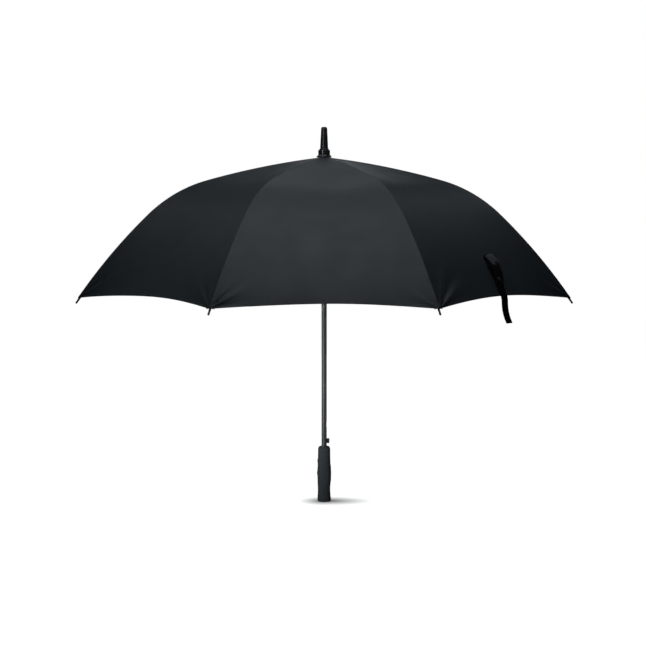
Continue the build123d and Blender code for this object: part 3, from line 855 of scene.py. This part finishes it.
def strap_path():
    """Points down the strap in its gore's plane: (distance out, height), from the top to the free end."""
    hem_s = SEAM_LENGTH - HEM_RISES[STRAP_GORE] / sin(seam(SEAM_LENGTH)[2])
    points = []
    for i in range(STRAP_POINTS):
        share = i / (STRAP_POINTS - 1)
        x, z, slope = seam(hem_s - STRAP_SEWN * (1 - share))
        off = (-2.6 + 3.4 * sin(pi * share)) * MM
        points.append((x * cos(HALF) + off * sin(slope), z + off * cos(slope)))
    x, z = points[-1]
    for out, down in STRAP_FREE:
        points.append((x + out * MM, z - down * MM))
    return points


def rounded(points, parts, passes):
    """The points with each run divided, and the corners eased."""
    fine = []
    for (x0, z0), (x1, z1) in zip(points, points[1:]):
        fine += [(x0 + (x1 - x0) * i / parts, z0 + (z1 - z0) * i / parts) for i in range(parts)]
    fine.append(points[-1])
    for _ in range(passes):
        eased = []
        for a, b, c in zip(fine, fine[1:], fine[2:]):
            eased.append(((a[0] + 2 * b[0] + c[0]) / 4, (a[1] + 2 * b[1] + c[1]) / 4))
        fine = [fine[0]] + eased + [fine[-1]]
    return fine


def band(name, points, widths, leans, lift, material):
    """A folded band of cloth along the points, and its flat size and area."""
    azimuth = gore_azimuth(STRAP_GORE)
    fine = rounded(points, 4, 3)
    verts, uvs = [], []
    run = 0.0
    for i, (x, z) in enumerate(fine):
        before, after = fine[max(i - 1, 0)], fine[min(i + 1, len(fine) - 1)]
        dx, dz = after[0] - before[0], after[1] - before[1]
        length = hypot(dx, dz)
        out = (-dz / length, dx / length)
        if i:
            run += hypot(x - fine[i - 1][0], z - fine[i - 1][1])
        share = i / (len(fine) - 1)
        half_width = spread(widths, share) / 2
        lean = spread(leans, share)
        ripple = 0.5 * MM * sin(11 * share) * (1 - share)
        for across, thick in BAND_SHAPE:
            side = across * half_width + lean
            rise = lift + thick * MM + ripple * across
            verts.append(polar(azimuth, x + out[0] * rise, z + out[1] * rise, side))
            uvs.append((side, run))
    faces = capped_faces(len(fine), len(BAND_SHAPE), flip=True)
    piece = make(name, verts, faces, material, slot="strap_fabric", sharp=50, uvs=uvs)
    widest = max(width for _, width in widths)
    mean = sum(spread(widths, i / 40) for i in range(41)) / 41
    return piece, (widest, run), mean * run


def strap():
    """One folded strap: sewn down above the hem, hanging free below it, with a patch and press studs; its
    underlayer is coloured darker than the strap, as painted shade to its left.
    """
    azimuth = gore_azimuth(STRAP_GORE)
    points = strap_path()
    piece, size, area = band("closing_strap", points, STRAP_WIDTHS, STRAP_LEANS, STRAP_LIFT, STRAP)
    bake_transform(piece)
    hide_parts("strap", "strap_tab")
    sewn = points[:STRAP_POINTS]
    # The underlayer sheet, darker than the strap and wider to its left, is painted shade beside the strap
    under, size, area = band("strap_underlayer_shade", sewn, UNDERLAYER_SHADE_WIDTHS, UNDERLAYER_SHADE_LEANS, UNDERLAYER_SHADE_LIFT, STRAP_UNDERLAYER_SHADE)
    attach(under, STRAP_BODY)
    patch(azimuth, points)
    studs(azimuth, points)


def surface_frame(azimuth, points, index, lift, side):
    """A frame over the strap: X across it, Y up along it, Z outwards."""
    x, z = points[index]
    above, below = points[index - 1], points[index + 1]
    up = polar(azimuth, above[0] - below[0], above[1] - below[1])
    up.normalize()
    across = Vector((-sin(azimuth), cos(azimuth), 0))
    out = across.cross(up)
    centre = polar(azimuth, x, z, side) + out * lift
    return Matrix.Translation(centre) @ Matrix((across, up, out)).transposed().to_4x4()


def patch(azimuth, points):
    """The hook patch sewn to the strap's top, a little askew and domed."""
    place = surface_frame(azimuth, points, *PATCH_PLACE) @ Matrix.Rotation(PATCH_TURN, 4, "Z")
    steps = 16
    verts, uvs = [], []
    for layer in (1, 0):
        for i in range(steps + 1):
            for j in range(steps + 1):
                u, v = 2 * i / steps - 1, 2 * j / steps - 1
                edge = (1 - abs(u) ** 6) * (1 - abs(v) ** 6)
                dome = 0.7 * MM * (1 - u * u) * (1 - v * v) + 0.35 * MM * sin(3 * u + 2 * v)
                height = (PATCH_THICK * min(1.0, edge * 3) + dome) * layer
                verts.append(place @ Vector((u * PATCH_HALF, v * PATCH_HALF, height)))
                uvs.append((u * PATCH_HALF, v * PATCH_HALF))
    faces = shell_faces(steps + 1, steps + 1)
    piece = make("strap_patch", verts, faces, PATCH, STRAP_BODY, "strap_fabric", 60, uvs=uvs)


def studs(azimuth, points):
    """The press studs' caps; the upper one stands for the frame's own."""
    profile = [(radius * STUD_SCALE, height) for radius, height in STUD]
    for index, lift, side in STUDS:
        verts, faces = lathe(profile, surface_frame(azimuth, points, index, lift, side), 32)
        stud = make(f"press_stud_{index}", verts, faces, SNAP, STRAP_BODY, "snap_metal", 35)
        if index == STUDS[0][0]:
            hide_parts("strap_snap")


# ---------------------------------------------------------------- the frame's own nodes
def dress_nodes():
    """The frame's own nodes that stay in view get the materials made here."""
    finishes = {
        "shaft": SHAFT, "ferrule": TOP, "top_cap": TOP, "crown_notch": FITTING, "crown_wire": STEEL,
        "crown_pin": STEEL, "runner": FITTING, "spring_collar": FITTING, "handle_core": FITTING,
        "end_plug": FITTING, "latch": STEEL,
    }
    finishes.update({f"stretcher_{number}": ROD for number in range(1, RIBS + 1)})
    for name, material in finishes.items():
        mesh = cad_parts[name].data
        mesh.materials.clear()
        mesh.materials.append(material)


# ---------------------------------------------------------------- floor and light
FLOOR_HALF = 40
# The painted shadow round the handle's foot, a dip in the floor's glow: how far it reaches to the right, to
# the left, and forwards and back
SHADOW_RIGHT = 0.125
SHADOW_LEFT = 0.065
SHADOW_DEPTH = 0.05


def floor():
    """A white floor that glows, less so near the handle's foot, where the dip in the glow is a painted
    contact shadow added to the real shade from the lamps.
    """
    material, tree, surface = shader("studio_white", (0.8, 0.8, 0.8), 0.9, 0.0)
    surface.inputs["Emission Color"].default_value = (1, 1, 1, 1)
    split = node(tree, "ShaderNodeSeparateXYZ")
    tree.links.new(coordinates(tree), split.inputs[0])
    right = maths(tree, "DIVIDE", split.outputs[0], SHADOW_RIGHT)
    left = maths(tree, "DIVIDE", split.outputs[0], -SHADOW_LEFT)
    deep = maths(tree, "DIVIDE", split.outputs[1], SHADOW_DEPTH)
    wide = maths(tree, "MAXIMUM", right, left)
    reach = maths(tree, "ADD", maths(tree, "MULTIPLY", wide, wide), maths(tree, "MULTIPLY", deep, deep))
    # Painted shadow: the glow falls to 0.08 in an ellipse round the handle's foot
    glow_with_painted_shadow = ramp(tree, maths(tree, "SQRT", reach), 0.1, 1.05, 0.08, 1.0)
    seen = node(tree, "ShaderNodeLightPath").outputs["Is Camera Ray"]
    tree.links.new(maths(tree, "MULTIPLY", glow_with_painted_shadow, seen), surface.inputs["Emission Strength"])
    mesh = bpy.data.meshes.new("studio_floor")
    corners = [(-1, -1), (1, -1), (1, 1), (-1, 1)]
    mesh.from_pydata([(FLOOR_HALF * x, FLOOR_HALF * y, 0) for x, y in corners], [], [[0, 1, 2, 3]])
    mesh.materials.append(material)
    made = put("studio_floor", mesh)
    made.location.z = -0.5 * MM


LIGHT_COLOUR = (0.9, 0.972, 1.0)
LIGHT_TARGET = (0, 0, 0.75)
WORLD_STRENGTH = 0.007
# Each soft light's place, size and power: above the canopy and behind it, so the side gores stay darker
LIGHTS = {
    "front_top": ((0, -0.9, 1.9), 0.9, 3.7),
    "overhead": ((0, -0.3, 1.9), 0.9, 1.9),
    "left_top": ((-1.2, 0.2, 2.2), 0.9, 2.2),
    "right_top": ((1.2, 0.8, 2.2), 0.9, 1.15),
    "behind": ((0, 2.0, 3.2), 1.2, 3.6),
    "back_low": ((0.3, 3.4, 1.2), 1.6, 7.0),
}
# Soft spots for what the canopy shades, and for the ferrule: place, target, cone, power
SPOTS = {
    "handle_spot": ((-1.75, -1.75, 0.34), (0, 0, 0.26), radians(13.5), 185.0),
    "handle_fill": ((1.5, -2.0, 0.34), (0, 0, 0.26), radians(13.5), 55.0),
    "ferrule_spot": ((-1.5, -2.4, 1.15), (0, 0, 0.955), radians(4.0), 190.0),
}


def light(name, kind, place, target, power):
    """A lamp of that kind, turned towards the target."""
    data = bpy.data.lights.new(name, kind)
    data.energy = power
    data.color = LIGHT_COLOUR
    made = put(name, data)
    made.location = place
    made.rotation_euler = (Vector(target) - Vector(place)).to_track_quat("-Z", "Y").to_euler()
    return data


def area_light(name, place, size, power):
    data = light(name, "AREA", place, LIGHT_TARGET, power)
    data.shape = "DISK"
    data.size = size


def spot_light(name, place, target, cone, power):
    data = light(name, "SPOT", place, target, power)
    data.spot_size = cone
    data.spot_blend = 0.35
    data.shadow_soft_size = 0.22


def lights():
    """The lamps, and a world that is white to the camera and nearly dark to everything else."""
    world = bpy.data.worlds.new("studio")
    bpy.context.scene.world = world
    world.use_nodes = True
    tree = world.node_tree
    seen = tree.nodes["Background"]
    seen.inputs["Color"].default_value = (1, 1, 1, 1)
    seen.inputs["Strength"].default_value = 1.0
    dim = node(tree, "ShaderNodeBackground")
    dim.inputs["Strength"].default_value = WORLD_STRENGTH
    mix = node(tree, "ShaderNodeMixShader")
    tree.links.new(node(tree, "ShaderNodeLightPath").outputs["Is Camera Ray"], mix.inputs[0])
    tree.links.new(dim.outputs[0], mix.inputs[1])
    tree.links.new(seen.outputs[0], mix.inputs[2])
    tree.links.new(mix.outputs[0], tree.nodes["World Output"].inputs["Surface"])
    for name, (place, size, power) in LIGHTS.items():
        area_light(name, place, size, power)
    for name, (place, target, cone, power) in SPOTS.items():
        spot_light(name, place, target, cone, power)
    bpy.context.scene.view_settings.view_transform = "Standard"


# ---------------------------------------------------------------- the whole
def build():
    camera()
    canopy()
    for number in range(1, RIBS + 1):
        seam_tape(number)
        rib(number)
    opening_spring()
    button_spring()
    grip()
    button()
    strap()
    dress_nodes()
    floor()
    lights()


build()
